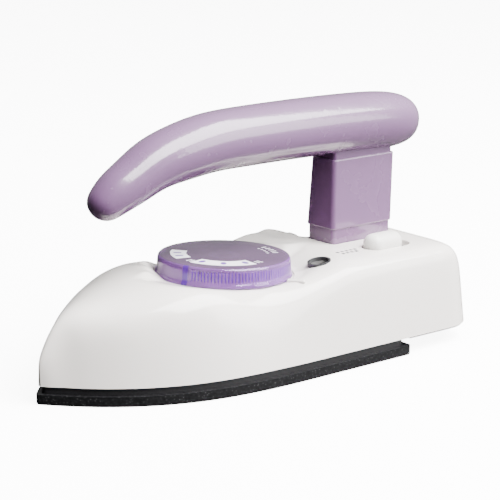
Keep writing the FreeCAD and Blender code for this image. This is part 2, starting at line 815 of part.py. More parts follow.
def make_thermostat():
    """Thermostat on the sole's pad: frame, bush, stack of blades, spacers and rivet."""
    base = dim("sole_boss_top")
    at = dim("dial_station")
    legs_top = base + 8.0
    frame = block(at - 6, at + 18, -7, 7, base, base + 1.4)
    for side in (-1, 1):
        y_low = 9.0 if side > 0 else -10.4
        frame = frame.fuse(block(at - 6, at + 6, y_low, y_low + 1.4, base, legs_top + 6))
        y_foot = 5.6 if side > 0 else -10.4
        frame = frame.fuse(block(at - 6, at + 6, y_foot, y_foot + 4.8, base, base + 1.4))
    frame = frame.fuse(block(at - 6, at + 6, -10.4, 10.4, legs_top + 6, legs_top + 7.4))
    frame = frame.cut(upright(dim("spindle_radius") + 0.8, at - 0.4, 0, base + 4, 60))
    subpart(feature(frame), "thermostat_frame")
    seat = dim("dial_seat_z")
    bush = disc(5.0, base + 15.8 - seat, base + 20.5 - seat, dial_place(), dim("spindle_radius") + 0.05)
    subpart(feature(bush), "spindle_bush")
    stack = at + 13.5
    level = base + 1.4
    blades = {"bimetal_blade": (2.0, 0.8, 24.0), "lower_contact_spring": (2.0, 0.4, 16.0),
              "upper_contact_spring": (2.0, 0.4, 16.0)}
    spacers = []
    for name, (gap, thickness, reach) in blades.items():
        spacers.append(upright(4.0, stack, 0, level, level + gap))
        level += gap
        blade = block(stack - reach, stack + 5, -3.5, 3.5, level, level + thickness)
        if name != "bimetal_blade":
            blade = blade.fuse(upright(1.5, stack - reach + 2.5, 0, level - 0.4, level + thickness))
            blade = blade.fuse(block(stack + 5, stack + 9, -1.6, 1.6, level, level + thickness))
        blade = blade.cut(upright(1.6, stack, 0, 0, 40))
        subpart(feature(blade), name)
        level += thickness
    spacers.append(upright(4.0, stack, 0, level, level + 2.0))
    level += 2.0
    spacers = [s.cut(upright(1.6, stack, 0, 0, 40)) for s in spacers]
    subpart(group(*[feature(s) for s in spacers]), "ceramic_spacers")
    rivet = upright(1.6, stack, 0, base + 1.4, level).fuse(upright(2.8, stack, 0, level, level + 0.9))
    subpart(feature(rivet), "stack_rivet")


# ---------------------------------------------------------------- selector switch
def make_selector():
    """Voltage selector: black bezel, slotted metal rotor turned with a coin, switch body and blades."""
    bezel = disc(dim("bezel_radius"), -9.0, 0.35, selector_place(), dim("rotor_radius") + 0.06)
    subpart(feature(bezel), "selector_bezel")
    rotor = disc(dim("rotor_radius"), -6.5, -1.1, selector_place())
    slot = Part.makeBox(6.8, 1.3, 1.8, V(-3.4, -0.65, -2.7))
    slot.Placement = selector_place()
    stem = disc(1.5, -12.5, -6.5, selector_place())
    subpart(feature(rotor.fuse(stem).cut(slot)), "selector_rotor")
    body = Part.makeBox(13, 13, 6.5, V(-6.5, -6.5, -15.5))
    body = body.makeFillet(1.0, [e for e in body.Edges if is_vertical(e)])
    body.Placement = selector_place()
    body = body.cut(disc(1.56, -13.0, -8, selector_place()))
    subpart(feature(body), "selector_switch")
    blades = []
    for offset in (-4.0, 0.0, 4.0):
        blade = Part.makeBox(0.8, 4.0, 5.0, V(offset - 0.4, -2.0, -20.5))
        blade.Placement = selector_place()
        blades.append(feature(blade))
    subpart(group(*blades), "selector_blades")


# ---------------------------------------------------------------- handle release
def make_release(shell):
    """Thumb slide, the toothed plate under it, the plate's guide and its return spring."""
    at, y, deck = dim("slot_station"), dim("slot_y"), dim("deck_z")
    inner_deck = deck - dim("wall")
    tab_at = at - (dim("slot_length") - dim("tab_length")) / 2 + 1.0
    tab_bottom, tab_top = inner_deck - 1.4, deck + dim("tab_height")
    width = dim("slot_width") - 1.0
    body = stadium(dim("tab_length"), width, tab_bottom, tab_top, tab_at, y)
    top_edges = [e for e in body.Edges if abs(e.BoundBox.ZMin - tab_top) < 0.001]
    body = body.makeFillet(4.2, top_edges)
    stem = block(tab_at - 4, tab_at + 4, y - 1.6, y + 1.6, inner_deck - 6.2, tab_bottom)
    subpart(feature(body.fuse(stem)), "release_tab")

    guide_top = inner_deck - 1.8
    guide = block(at - 16, at + 20, y - 7.5, y + 7.5, guide_top - 1.8, guide_top)
    guide = guide.cut(block(tab_at - 4.4, tab_at + 4.4 + dim("tab_travel"), y - 2.0, y + 2.0, 0, 60))
    for side in (-7.5, 6.0):
        guide = guide.fuse(block(at - 16, at + 20, y + side, y + side + 1.5, guide_top - 6.0, guide_top))
        guide = guide.fuse(block(at - 16, at - 12, y + side, y + side + 1.5, guide_top, inner_deck + 0.2))
        guide = guide.fuse(block(at + 16, at + 20, y + side, y + side + 1.5, guide_top, inner_deck + 0.2))
    post = block(at + 17, at + 20, y - 7.5, y + 7.5, guide_top - 6.0, guide_top)
    guide = guide.cut(block(at - 16, at + 16.9, y + 5.9, y + 8, guide_top - 6.1, guide_top - 1.8))
    subpart(feature(guide.fuse(post).cut(shell)), "latch_guide")

    plate_top = guide_top - 2.1
    plate = block(tab_at - 8, tab_at + 7, y - 5.7, y + 5.4, plate_top - 1.5, plate_top)
    tooth_end = -dim("pillar_width") / 2 - 0.1
    plate = plate.fuse(block(tab_at - 8, tab_at - 2, y + 5.4, tooth_end, plate_top - 1.5, plate_top))
    stem_hole = block(tab_at - 4, tab_at + 4, y - 1.6, y + 1.6, 0, 60)
    lug = block(tab_at + 5.5, tab_at + 7, y - 3, y + 3, plate_top - 4.6, plate_top - 1.5)
    subpart(feature(plate.fuse(lug).cut(stem_hole)), "latch_plate")

    coil_from, coil_to = tab_at + 7.1, at + 16.9
    helix = Part.makeHelix((coil_to - coil_from - 0.6) / 6, coil_to - coil_from - 0.6, 1.3)
    wire_ring = Part.Wire(Part.makeCircle(0.3, V(1.3, 0, 0), V(0, 1, 0)))
    coil = Part.Wire(helix.Edges).makePipeShell([wire_ring], True, True)
    coil_start = V(x_of(coil_from) + 0.3, y, plate_top - 3.1)
    coil.Placement = FreeCAD.Placement(coil_start, FreeCAD.Rotation(V(0, 1, 0), 90))
    subpart(feature(coil), "latch_spring")


# ---------------------------------------------------------------- handle
def rounded_ring(at_from, at_to, y_half, z, corner):
    """A rectangle with rounded corners, as a wire at one height."""
    solid = rounded_block(at_from, at_to, y_half, z, z + 1, corner)
    lowest = min(solid.Faces, key=lambda face: face.CenterOfMass.z)
    return lowest.OuterWire


def pillar_body():
    """The pillar's tapered body, widest at its base."""
    start, length, half = dim("pillar_station"), dim("pillar_length"), dim("pillar_width") / 2
    top_start, top_length = dim("pillar_top_station"), dim("pillar_top_length")
    top_half = dim("pillar_top_width") / 2
    rings = [rounded_ring(start, start + length, half, dim("pillar_base"), 1.8),
             rounded_ring(top_start, top_start + top_length, top_half, dim("pillar_top"), 1.8)]
    body = Part.makeLoft(rings, True, True)
    return body.makeFillet(0.6, [e for e in body.Edges if e.BoundBox.ZLength < 0.01])


def neck_block(z_from):
    """The narrower neck between pillar and grip."""
    inset = dim("neck_inset")
    start = dim("pillar_top_station")
    end = start + dim("pillar_top_length")
    half = dim("pillar_top_width") / 2
    return rounded_block(start + inset, end - inset, half - inset, z_from, dim("neck_top"), 1.6)


def tongue_block(z_from):
    """The tongue that the two halves of the grip clamp."""
    start = dim("pillar_top_station")
    return rounded_block(start + 5, start + dim("pillar_top_length") - 5, 4.0, z_from, dim("tongue_top"), 1.0)


def make_pillar():
    """Pillar that carries the grip: neck, body, narrower foot and the tenon under the deck."""
    start, length = dim("pillar_station"), dim("pillar_length")
    half = dim("pillar_width") / 2
    foot = foot_box(0.0, 40.6, dim("pillar_base") + 1)
    tenon = rounded_block(start + 3, start + length - 3, half - 1.4, dim("tenon_bottom"), 41, 1.0)
    notch = block(start + 5, start + 17, -half, -half + 3.0, 33.8, 37.2)
    neck = neck_block(dim("pillar_top") - 1)
    pillar = pillar_body().fuse([foot, neck, tenon, tongue_block(dim("neck_top") - 1)]).cut(notch)
    for offset in PILLAR_BOLTS:
        pillar = pillar.cut(upright(1.6, start + offset, 0, 0, 85))
        pillar = pillar.cut(upright(3.2, start + offset, 0, 0, 62))
    subpart(feature(pillar), "handle_pillar")
    insert = block(start + 5, start + 17, -half + 2.2, -half + 3.0, 33.8, 37.2)
    subpart(feature(insert), "notch_plate")
    bolts = []
    for offset in PILLAR_BOLTS:
        shank = cylinder("1.6", "23", station("pillar_station + %s" % offset), "0", "62")
        head = cylinder("3.1", "2.6", station("pillar_station + %s" % offset), "0", "59.4")
        bolts.append(fuse(shank, head))
    subpart(group(*bolts), "pillar_bolts")


# Middle line of the grip from its drooping tip to its blunt heel end: station, height, share of full size.
GRIP_LINE = [
    (27.1, 70.3, 0.02), (27.4, 70.5, 0.19), (28.3, 71.2, 0.36), (30.0, 72.5, 0.50), (32.6, 74.4, 0.592),
    (36.4, 77.0, 0.668), (44.0, 81.1, 0.749), (54.0, 86.2, 0.828), (66.0, 89.6, 0.908), (80.0, 92.0, 0.959),
    (96.0, 92.8, 0.985), (114.0, 92.95, 0.994), (134.0, 92.9, 1.0), (154.0, 92.6, 1.0), (170.0, 92.0, 0.995),
    (178.0, 91.5, 0.965), (183.0, 91.2, 0.90), (187.0, 90.8, 0.79), (189.8, 90.5, 0.64), (191.7, 90.3, 0.45),
    (192.7, 90.2, 0.25), (193.0, 90.1, 0.02),
]


def grip_half(inset, side):
    """Half of the grip's form, on one side of the middle plane, as a closed solid."""
    steps = 20
    rows = []
    for i, (at, z, share) in enumerate(GRIP_LINE):
        before = GRIP_LINE[max(0, i - 1)]
        after = GRIP_LINE[min(len(GRIP_LINE) - 1, i + 1)]
        along = V(after[0] - before[0], 0, after[1] - before[1]).normalize()
        up = V(-along.z, 0, along.x)
        tall = dim("grip_half_thickness") * share
        wide = dim("grip_half_width") * share
        shrink = max(0.0, 1 - inset / max(0.001, tall))
        centre = V(x_of(at), 0, z)
        row = []
        for j in range(steps + 1):
            turn = math.pi * j / steps
            lift, out = math.cos(turn), (0.0 if j in (0, steps) else math.sin(turn))
            reach = (abs(lift) ** 2.15 + out ** 2.15) ** (-1 / 2.15) * shrink
            row.append(centre + up * (tall * lift * reach) + V(0, side * wide * out * reach, 0))
        if shrink > 0.05 or not inset:
            rows.append(row)
    surface = Part.BSplineSurface()
    surface.interpolate(rows)
    u0, u1, v0, v1 = surface.bounds()
    rims = [surface.vIso(v0).toShape(), surface.vIso(v1).toShape()]
    chords = [Part.makeLine(row[0], row[-1]) for row in (rows[0], rows[-1])]
    ends = [Part.Face(Part.Wire([surface.uIso(u).toShape(), chord])) for u, chord in zip((u0, u1), chords)]
    middle = Part.Face(Part.Wire(Part.__sortEdges__(rims + chords)))
    shell = Part.Shell([surface.toShape(), middle] + ends)
    shell.sewShape()
    solid = Part.Solid(shell)
    if solid.Volume < 0:
        solid.reverse()
    return solid


def make_grip():
    """Hollow grip in two halves that clamp the pillar's tongue, held by three screws."""
    start, length = dim("pillar_top_station"), dim("pillar_top_length")
    clamp = block(start + 2, start + length - 2, -10, 10, dim("neck_top"), dim("tongue_top") + 2)
    for name, side in (("grip_left_shell", -1), ("grip_right_shell", 1)):
        form = grip_half(0.0, side)
        shell = form.cut(grip_half(dim("grip_wall"), side))
        shell = shell.fuse(clamp.common(form))
        for at, z in GRIP_SCREWS:
            post = Part.makeCylinder(3.9, 16, V(x_of(at), 0, z), V(0, side, 0)).common(form)
            shell = shell.fuse(post)
        shell = shell.cut([neck_block(60), tongue_block(80)])
        for at, z in GRIP_SCREWS:
            shank = Part.makeCylinder(dim("screw_radius"), 16, V(x_of(at), -7, z), V(0, 1, 0))
            shell = shell.cut(shank)
            if side > 0:
                shell = shell.cut(Part.makeCylinder(dim("screw_head") + 0.2, 12, V(x_of(at), 7, z), V(0, 1, 0)))
        subpart(feature(shell), name)
    screws = []
    for at, z in GRIP_SCREWS:
        shank = cylinder("screw_radius", "14", station(str(at)), "-7", str(z), "y")
        head = cylinder("screw_head", "2", station(str(at)), "7", str(z), "y")
        slot = box("4.4", "1", "0.8", station(str(at)), "8.5", "%s - 0.4" % z)
        screws.append(cut(fuse(shank, head), slot))
    subpart(group(*screws), "grip_screws")


def make_socket():
    """Moulded socket under the deck that the handle's tenon slides into."""
    start, length = dim("pillar_station"), dim("pillar_length")
    half = dim("pillar_width") / 2
    outside = socket_outline(0.0)
    inside = rounded_block(start + 2.65, start + length - 2.65, half - 1.05, 23.5, 60, 1.3)
    window = block(start + 4, start + 26, -half - 3, -half + 3, 33.8, 37.2)
    subpart(feature(outside.cut(inside).cut(window)), "handle_socket")


# ---------------------------------------------------------------- wiring
def make_wiring():
    """Terminal block, fuse, pilot lamp and the insulated leads between them."""
    base = dim("sole_boss_top")
    plate_top = dim("housing_base") + dim("plate_plug")
    body = block(179, 187, -12, 12, plate_top, plate_top + 9)
    screws = []
    for y in (-8.0, 0.0, 8.0):
        body = body.cut(upright(1.5, 183, y, plate_top + 2, 60))
        shank = cylinder("1.5", "7", station("183"), str(y), "housing_base + plate_plug + 2")
        head = cylinder("2.5", "1.5", station("183"), str(y), "housing_base + plate_plug + 9")
        screws.append(fuse(shank, head))
    subpart(feature(body), "terminal_block")
    subpart(group(*screws), "terminal_screws")
    fuse_y = 9.0
    subpart(cylinder("2", "12", station("128"), str(fuse_y), "sole_boss_top + 2", "x"), "thermal_fuse")
    strap = block(132, 136, fuse_y - 2.8, fuse_y + 2.8, base, base + 4.8)
    strap = strap.cut(block(132, 136, fuse_y - 2.0, fuse_y + 2.0, base, base + 2))
    strap = strap.cut(Part.makeCylinder(2.0, 12, V(x_of(128), fuse_y, base + 2), V(1, 0, 0)))
    subpart(feature(strap), "fuse_clamp")
    at, y = LAMPS[0]
    subpart(cylinder("2.5", "9", station(str(at)), str(y), "26.5"), "pilot_lamp")
    holder = upright(3.6, at, y, 24.0, 34.2).cut(upright(2.5, at, y, 26.5, 60))
    arm = block(at - 2, at + 2, y + 3, y + 7, 24.0, 26.0)
    subpart(feature(holder.fuse(arm)), "lamp_holder")
    wire = 1.0
    low = plate_top + 4.5
    pin_top = base + dim("pin_radius") + wire + 0.05
    live = [V(x_of(178.9), 8, low), V(x_of(174), 8, low), V(x_of(162), 5, 15), V(x_of(126), 3, 15), V(x_of(111.8), 2.4, 14.8)]
    neutral = [V(x_of(178.9), -8, low), V(x_of(174), -8, low), V(x_of(162), -24, pin_top), V(x_of(149.4), -24, pin_top)]
    load = [V(x_of(111.8), -3.0, 17.4), V(x_of(124), -5, 19.6), V(x_of(142), 14, 19.6), V(x_of(155), 24, pin_top),
            V(x_of(149.4), 24, pin_top)]
    for name, route in (("live_wire", live), ("neutral_wire", neutral), ("load_wire", load)):
        subpart(feature(rod(route, wire)), name)


make_sole()
make_element_ends()
make_heat_shield()
make_base_plate()
housing_shell = make_housing()
make_heel_screws()
make_cord_inlet()
make_dial_cap()
make_dial_scale()
make_spindle_group()
make_thermostat()
make_selector()
make_release(housing_shell)
make_pillar()
make_grip()
make_socket()
make_wiring()

# ---------------------------------------------------------------- check and write
doc.recompute()
for obj in doc.Objects:
    if "Invalid" in obj.State or "Error" in obj.State:
        raise RuntimeError("failed: %s %s" % (obj.Label, obj.State))
os.makedirs("parts", exist_ok=True)
for obj in SUBPARTS:
    shape = obj.Shape
    if shape.isNull() or not shape.isValid() or shape.Volume <= 0:
        raise RuntimeError("bad shape: %s" % obj.Label)
    shape.exportStep("parts/%s.step" % obj.Label)
    print("%-24s solids %d volume %9.1f" % (obj.Label, len(shape.Solids), shape.Volume))
print("sub-parts:", len(SUBPARTS))
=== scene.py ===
import json
import math

import bpy
from mathutils import Matrix, Vector


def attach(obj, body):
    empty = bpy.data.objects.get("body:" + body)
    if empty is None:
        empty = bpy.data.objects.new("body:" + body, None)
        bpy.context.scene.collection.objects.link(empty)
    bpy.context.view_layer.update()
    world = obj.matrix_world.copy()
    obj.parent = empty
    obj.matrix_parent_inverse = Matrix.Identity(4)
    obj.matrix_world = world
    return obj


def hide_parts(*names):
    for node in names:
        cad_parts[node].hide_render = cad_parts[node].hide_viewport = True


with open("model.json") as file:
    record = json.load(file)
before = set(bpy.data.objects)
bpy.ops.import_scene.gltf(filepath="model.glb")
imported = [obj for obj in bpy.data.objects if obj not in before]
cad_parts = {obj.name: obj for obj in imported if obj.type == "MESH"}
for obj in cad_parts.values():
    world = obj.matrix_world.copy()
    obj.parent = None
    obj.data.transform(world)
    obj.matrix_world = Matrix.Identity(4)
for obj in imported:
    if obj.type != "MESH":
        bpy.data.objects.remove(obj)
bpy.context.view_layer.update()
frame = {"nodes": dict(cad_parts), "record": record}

# A compact waxing iron: glossy white body on a black speckled sole, clear violet dial,
# lavender arched handle on a pillar. Metres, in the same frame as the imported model.

MM = 0.001

# Camera: where it looks, from how far, and from which side.
CAMERA_AZIMUTH = -38.5
CAMERA_ELEVATION = 14.0
CAMERA_TARGET = (0.00246, -0.00363, 0.04601)
CAMERA_DISTANCE = 0.7141
CAMERA_LENS = 125.6

# Dial: centre of its seat in metres and its lean towards the heel in degrees,
# then heights and radii about its own axis in millimetres.
DIAL_SEAT = Vector((-0.0084, 0.0, 0.0369))
DIAL_LEAN = 2.0
DIAL_BOTTOM = 0.5
DIAL_TOP = 8.5
DIAL_WALL = 1.8
DIAL_RIM = 27.4
DIAL_LIP = 28.1
# Grip ribs round the rim: how many fit a full turn, the mesh columns that each one gets,
# their depth, and the arc they cover in degrees.
RIBS_PER_TURN = 126
COLUMNS_PER_RIB = 8
RIB_DEPTH = 0.35
RIBS_FROM = -158.0
RIBS_TO = 125.0
# Direction of the stop web that stands behind the rim, and how far to either side of it the rim is given
# painted shade.
WEB_ANGLE = -162.0
WEB_SHADE_REACH = 2.6
# The printed bands on the dial: the middle direction of each, and the spacing of the marks on them.
NEAR_BAND_ANGLE = -128.5
NEAR_MARK_TURNS = (-29, 0, 29)
SIDE_BAND_ANGLE = 150.5
SIDE_MARK_TURNS = (-7, 9)
# White ticks straight on the clear top: single ones, and the double row on the heel side.
SINGLE_TICK_ANGLES = (-175, -170, -84, -79)
DOUBLE_TICK_ANGLES = (2, -5, -12, -19, -26)
CLIP_ANGLES = (35, 70)
PRINT_THICKNESS = 0.03
# Rear deck in millimetres: height of the printed marks' upper side, where the rows begin,
# their sideways places with how many dashes each has, and the size of a dash.
DECK_HEIGHT = 42.86
DECK_ROWS_START = 35.5
DECK_ROWS = ((-19.6, 5), (-22.4, 4))
DASH_SPACING = 2.4
DASH_LENGTH = 1.3
DASH_WIDTH = 1.5

# Studio in metres: the floor, and the softboxes as name, place, width, height and power in watts.
FLOOR_RADIUS = 12.0
FLOOR_GLOW = 8.0
LIGHT_AIM = Vector((0.0, 0.0, 0.06))
SOFTBOXES = (
    ("Overhead", (0.3, -0.62, 1.15), 1.4, 1.0, 115.0),
    ("RightFill", (1.3, -2.0, 0.9), 1.2, 1.2, 40.0),
)


# ---------------------------------------------------------------- node helpers
def new_material(name):
    """A node material with its shader ready to set."""
    material = bpy.data.materials.new(name)
    material.use_nodes = True
    return material, material.node_tree, material.node_tree.nodes["Principled BSDF"]


def object_coordinates(tree, stretch=(1.0, 1.0, 1.0)):
    """Coordinates that travel with the piece, in metres."""
    source = tree.nodes.new("ShaderNodeTexCoord")
    mapping = tree.nodes.new("ShaderNodeMapping")
    mapping.inputs["Scale"].default_value = stretch
    tree.links.new(source.outputs["Object"], mapping.inputs["Vector"])
    return mapping.outputs["Vector"]


def noise(tree, size, detail=3.0, roughness=0.5, stretch=(1.0, 1.0, 1.0)):
    """Soft noise whose blobs are about size metres across."""
    texture = tree.nodes.new("ShaderNodeTexNoise")
    texture.inputs["Scale"].default_value = 1.0 / size
    texture.inputs["Detail"].default_value = detail
    texture.inputs["Roughness"].default_value = roughness
    tree.links.new(object_coordinates(tree, stretch), texture.inputs["Vector"])
    return texture.outputs["Fac"]


def cells(tree, size, randomness=1.0):
    """Distance to the nearest of scattered points about size metres apart."""
    texture = tree.nodes.new("ShaderNodeTexVoronoi")
    texture.inputs["Scale"].default_value = 1.0 / size
    texture.inputs["Randomness"].default_value = randomness
    tree.links.new(object_coordinates(tree), texture.inputs["Vector"])
    return texture.outputs["Distance"]


def remap(tree, value, low, high, from_low=0.0, from_high=1.0):
    """A value moved from one range to another."""
    node = tree.nodes.new("ShaderNodeMapRange")
    node.inputs["From Min"].default_value = from_low
    node.inputs["From Max"].default_value = from_high
    node.inputs["To Min"].default_value = low
    node.inputs["To Max"].default_value = high
    tree.links.new(value, node.inputs["Value"])
    return node.outputs["Result"]


def arithmetic(tree, operation, first, second):
    """A sum, product or other result of two values or numbers."""
    node = tree.nodes.new("ShaderNodeMath")
    node.operation = operation
    for socket, value in zip(node.inputs, (first, second)):
        if isinstance(value, (int, float)):
            socket.default_value = value
        else:
            tree.links.new(value, socket)
    return node.outputs["Value"]


def colours(tree, value, *stops):
    """Colours along a value: stops are (position, (r, g, b))."""
    node = tree.nodes.new("ShaderNodeValToRGB")
    ramp = node.color_ramp
    while len(ramp.elements) < len(stops):
        ramp.elements.new(0.5)
    for element, (position, colour) in zip(ramp.elements, stops):
        element.position = position
        element.color = (*colour, 1.0)
    tree.links.new(value, node.inputs["Fac"])
    return node.outputs["Color"]


def bump(tree, shader, height, distance, strength=1.0):
    """Relief on the shader's surface, distance metres deep."""
    node = tree.nodes.new("ShaderNodeBump")
    node.inputs["Distance"].default_value = distance
    node.inputs["Strength"].default_value = strength
    tree.links.new(height, node.inputs["Height"])
    tree.links.new(node.outputs["Normal"], shader.inputs["Normal"])


def scaled(colour, factor):
    """A colour made lighter or darker."""
    return tuple(min(1.0, channel * factor) for channel in colour)


# ---------------------------------------------------------------- materials
def moulded_plastic(name, colour, rough, variation=0.03, relief=0.00001, grain=0.006, coat=0.0):
    """Moulded plastic: faint tone changes, uneven gloss and slight surface ripple."""
    material, tree, shader = new_material(name)
    tone = noise(tree, 0.035, detail=2.0)
    darker, lighter = scaled(colour, 1.0 - variation), scaled(colour, 1.0 + variation)
    shade = colours(tree, tone, (0.3, darker), (0.7, lighter))
    tree.links.new(shade, shader.inputs["Base Color"])
    smears = noise(tree, 0.012, detail=4.0)
    tree.links.new(remap(tree, smears, rough * 0.8, rough * 1.25, 0.3, 0.7), shader.inputs["Roughness"])
    shader.inputs["Coat Weight"].default_value = coat
    shader.inputs["Coat Roughness"].default_value = 0.06
    bump(tree, shader, noise(tree, grain, detail=2.0), relief)
    return material


def fine_textured_plastic(name, colour, rough=0.55):
    """Matt plastic with a fine spark-eroded texture."""
    material, tree, shader = new_material(name)
    speckle = noise(tree, 0.0006, detail=2.0)
    shade = colours(tree, speckle, (0.35, scaled(colour, 0.8)), (0.65, scaled(colour, 1.25)))
    tree.links.new(shade, shader.inputs["Base Color"])
    tree.links.new(remap(tree, speckle, rough - 0.08, rough + 0.1), shader.inputs["Roughness"])
    bump(tree, shader, speckle, 0.00004)
    return material


def brushed_metal(name, colour, rough=0.3, along=(1.0, 12.0, 12.0)):
    """Metal with fine lines one way, and patches that are a little duller."""
    material, tree, shader = new_material(name)
    lines = noise(tree, 0.003, detail=5.0, roughness=0.7, stretch=along)
    shade = colours(tree, lines, (0.3, scaled(colour, 0.78)), (0.7, scaled(colour, 1.1)))
    tree.links.new(shade, shader.inputs["Base Color"])
    tree.links.new(remap(tree, lines, rough * 0.7, rough * 1.4), shader.inputs["Roughness"])
    shader.inputs["Metallic"].default_value = 1.0
    bump(tree, shader, lines, 0.00002)
    return material


def speckled_coating(name):
    """Non-stick coating on the sole: near black, fine grey flecks, a grain that shows, a light sheen."""
    material, tree, shader = new_material(name)
    flecks = cells(tree, 0.0011)
    clusters = noise(tree, 0.0035, detail=3.0)
    size = arithmetic(tree, "ADD", flecks, remap(tree, clusters, -0.12, 0.14))
    shade = colours(tree, size, (0.08, (0.06, 0.06, 0.062)), (0.22, (0.010, 0.010, 0.011)),
                    (0.75, (0.004, 0.004, 0.0045)))
    tree.links.new(shade, shader.inputs["Base Color"])
    tree.links.new(remap(tree, clusters, 0.40, 0.60), shader.inputs["Roughness"])
    shader.inputs["Specular IOR Level"].default_value = 0.18
    bump(tree, shader, noise(tree, 0.0009, detail=4.0), 0.00010)
    return material


def woven_sleeve(name, colour):
    """Braided heat-proof sleeve of the inner leads."""
    material, tree, shader = new_material(name)
    weave = tree.nodes.new("ShaderNodeTexWave")
    weave.wave_type = "BANDS"
    weave.bands_direction = "DIAGONAL"
    weave.inputs["Scale"].default_value = 500.0
    weave.inputs["Distortion"].default_value = 1.5
    tree.links.new(object_coordinates(tree), weave.inputs["Vector"])
    shade = colours(tree, weave.outputs["Fac"], (0.2, scaled(colour, 0.7)), (0.8, colour))
    tree.links.new(shade, shader.inputs["Base Color"])
    shader.inputs["Roughness"].default_value = 0.85
    bump(tree, shader, weave.outputs["Fac"], 0.0001)
    return material


def clear_violet(name, pale=(0.46, 0.22, 0.64), deep=(0.38, 0.15, 0.56), clearness=0.70):
    """Clear violet plastic of the dial, tinted right through, with faint flow marks."""
    material, tree, shader = new_material(name)
    tone = noise(tree, 0.02, detail=2.0)
    tree.links.new(colours(tree, tone, (0.3, deep), (0.7, pale)), shader.inputs["Base Color"])
    tree.links.new(remap(tree, noise(tree, 0.006), 0.05, 0.12), shader.inputs["Roughness"])
    shader.inputs["Transmission Weight"].default_value = clearness
    shader.inputs["IOR"].default_value = 1.5
    bump(tree, shader, noise(tree, 0.004, detail=2.0), 0.00001)
    return material


def lamp_glass(name):
    """Clear orange lens of the pilot lamp."""
    material, tree, shader = new_material(name)
    shade = colours(tree, noise(tree, 0.002), (0.3, (0.95, 0.35, 0.12)), (0.7, (1.0, 0.50, 0.20)))
    tree.links.new(shade, shader.inputs["Base Color"])
    shader.inputs["Roughness"].default_value = 0.12
    shader.inputs["Transmission Weight"].default_value = 0.6
    return material


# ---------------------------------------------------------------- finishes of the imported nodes
WHITE = (0.83, 0.785, 0.745)
LAVENDER = (0.150, 0.078, 0.165)


def finishes():
    """Each material slot of the record with the look it gets."""
    return {
        "sole_coating": speckled_coating("SoleCoating"),
        "shield_steel": fine_textured_plastic("ShieldEnamel", (0.010, 0.010, 0.011), 0.40),
        "white_shell": moulded_plastic("WhiteShell", WHITE, 0.16, variation=0.010, coat=0.3),
        "black_plastic": fine_textured_plastic("BlackPlastic", (0.02, 0.02, 0.022)),
        "lavender": moulded_plastic("Lavender", LAVENDER, 0.24, variation=0.02, coat=0.7),
        "cream_tab": moulded_plastic("CreamTab", (0.76, 0.74, 0.71), 0.30, variation=0.015),
        "grey_plastic": fine_textured_plastic("GreyPlastic", (0.28, 0.28, 0.29)),
        "violet_clear": clear_violet("ClearViolet"),
        "scale_print": moulded_plastic("ScalePrint", (0.84, 0.82, 0.88), 0.45),
        "hub_plastic": moulded_plastic("HubPlastic", (0.16, 0.05, 0.34), 0.35),
        "screw_steel": brushed_metal("ScrewSteel", (0.55, 0.55, 0.56), 0.32),
        "selector_metal": brushed_metal("SelectorMetal", (0.50, 0.49, 0.48), 0.40),
        "spring_steel": brushed_metal("SpringSteel", (0.50, 0.50, 0.50), 0.28),
        "brass_parts": brushed_metal("Brass", (0.70, 0.52, 0.24), 0.30),
        "element_steel": brushed_metal("ElementSteel", (0.24, 0.20, 0.18), 0.42),
        "ceramic": moulded_plastic("Ceramic", (0.76, 0.73, 0.66), 0.6, relief=0.00006),
        "bush_rubber": fine_textured_plastic("BushRubber", (0.60, 0.585, 0.57), 0.6),
        "lamp_glass": lamp_glass("LampGlass"),
        "wire_sleeve": woven_sleeve("WireSleeve", (0.66, 0.60, 0.46)),
    }


def dress_frame():
    """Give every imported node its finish."""
    looks = finishes()
    for entry in frame["record"]["subparts"]:
        node = frame["nodes"][entry["node"]]
        node.data.materials.clear()
        node.data.materials.append(looks[entry["material_slot"]])
    return looks


# ---------------------------------------------------------------- mesh helpers
def new_piece(name, vertices, faces, material, smooth_below=None):
    """A mesh object from points in metres, smooth across edges flatter than an angle in degrees."""
    mesh = bpy.data.meshes.new(name)
    mesh.from_pydata(vertices, [], faces)
    mesh.update()
    if smooth_below:
        mesh.polygons.foreach_set("use_smooth", [True] * len(mesh.polygons))
        mesh.set_sharp_from_angle(angle=math.radians(smooth_below))
    mesh.materials.append(material)
    piece = bpy.data.objects.new(name, mesh)
    bpy.context.collection.objects.link(piece)
    return piece


def dial_frame():
    """Matrix from the dial's own millimetres to metres in the row's frame."""
    lean = Matrix.Rotation(math.radians(DIAL_LEAN), 4, "Y")
    return Matrix.Translation(DIAL_SEAT) @ lean @ Matrix.Scale(MM, 4)


def polar(radius, angle, height):
    """A point of the dial from its radius, its angle in degrees and its height."""
    turn = math.radians(angle)
    return Vector((radius * math.cos(turn), radius * math.sin(turn), height))


def prism(outline, bottom, top, place):
    """Vertices and faces of a flat piece on a convex outline, moved by a matrix."""
    count = len(outline)
    vertices = [place @ Vector((x, y, z)) for z in (bottom, top) for x, y in outline]
    faces = [tuple(reversed(range(count))), tuple(range(count, 2 * count))]
    faces += [(i, (i + 1) % count, count + (i + 1) % count, count + i) for i in range(count)]
    return vertices, faces


def merged(parts):
    """Several meshes' vertices and faces as one."""
    vertices, faces = [], []
    for more_vertices, more_faces in parts:
        base = len(vertices)
        vertices += more_vertices
        faces += [tuple(base + index for index in face) for face in more_faces]
    return vertices, faces


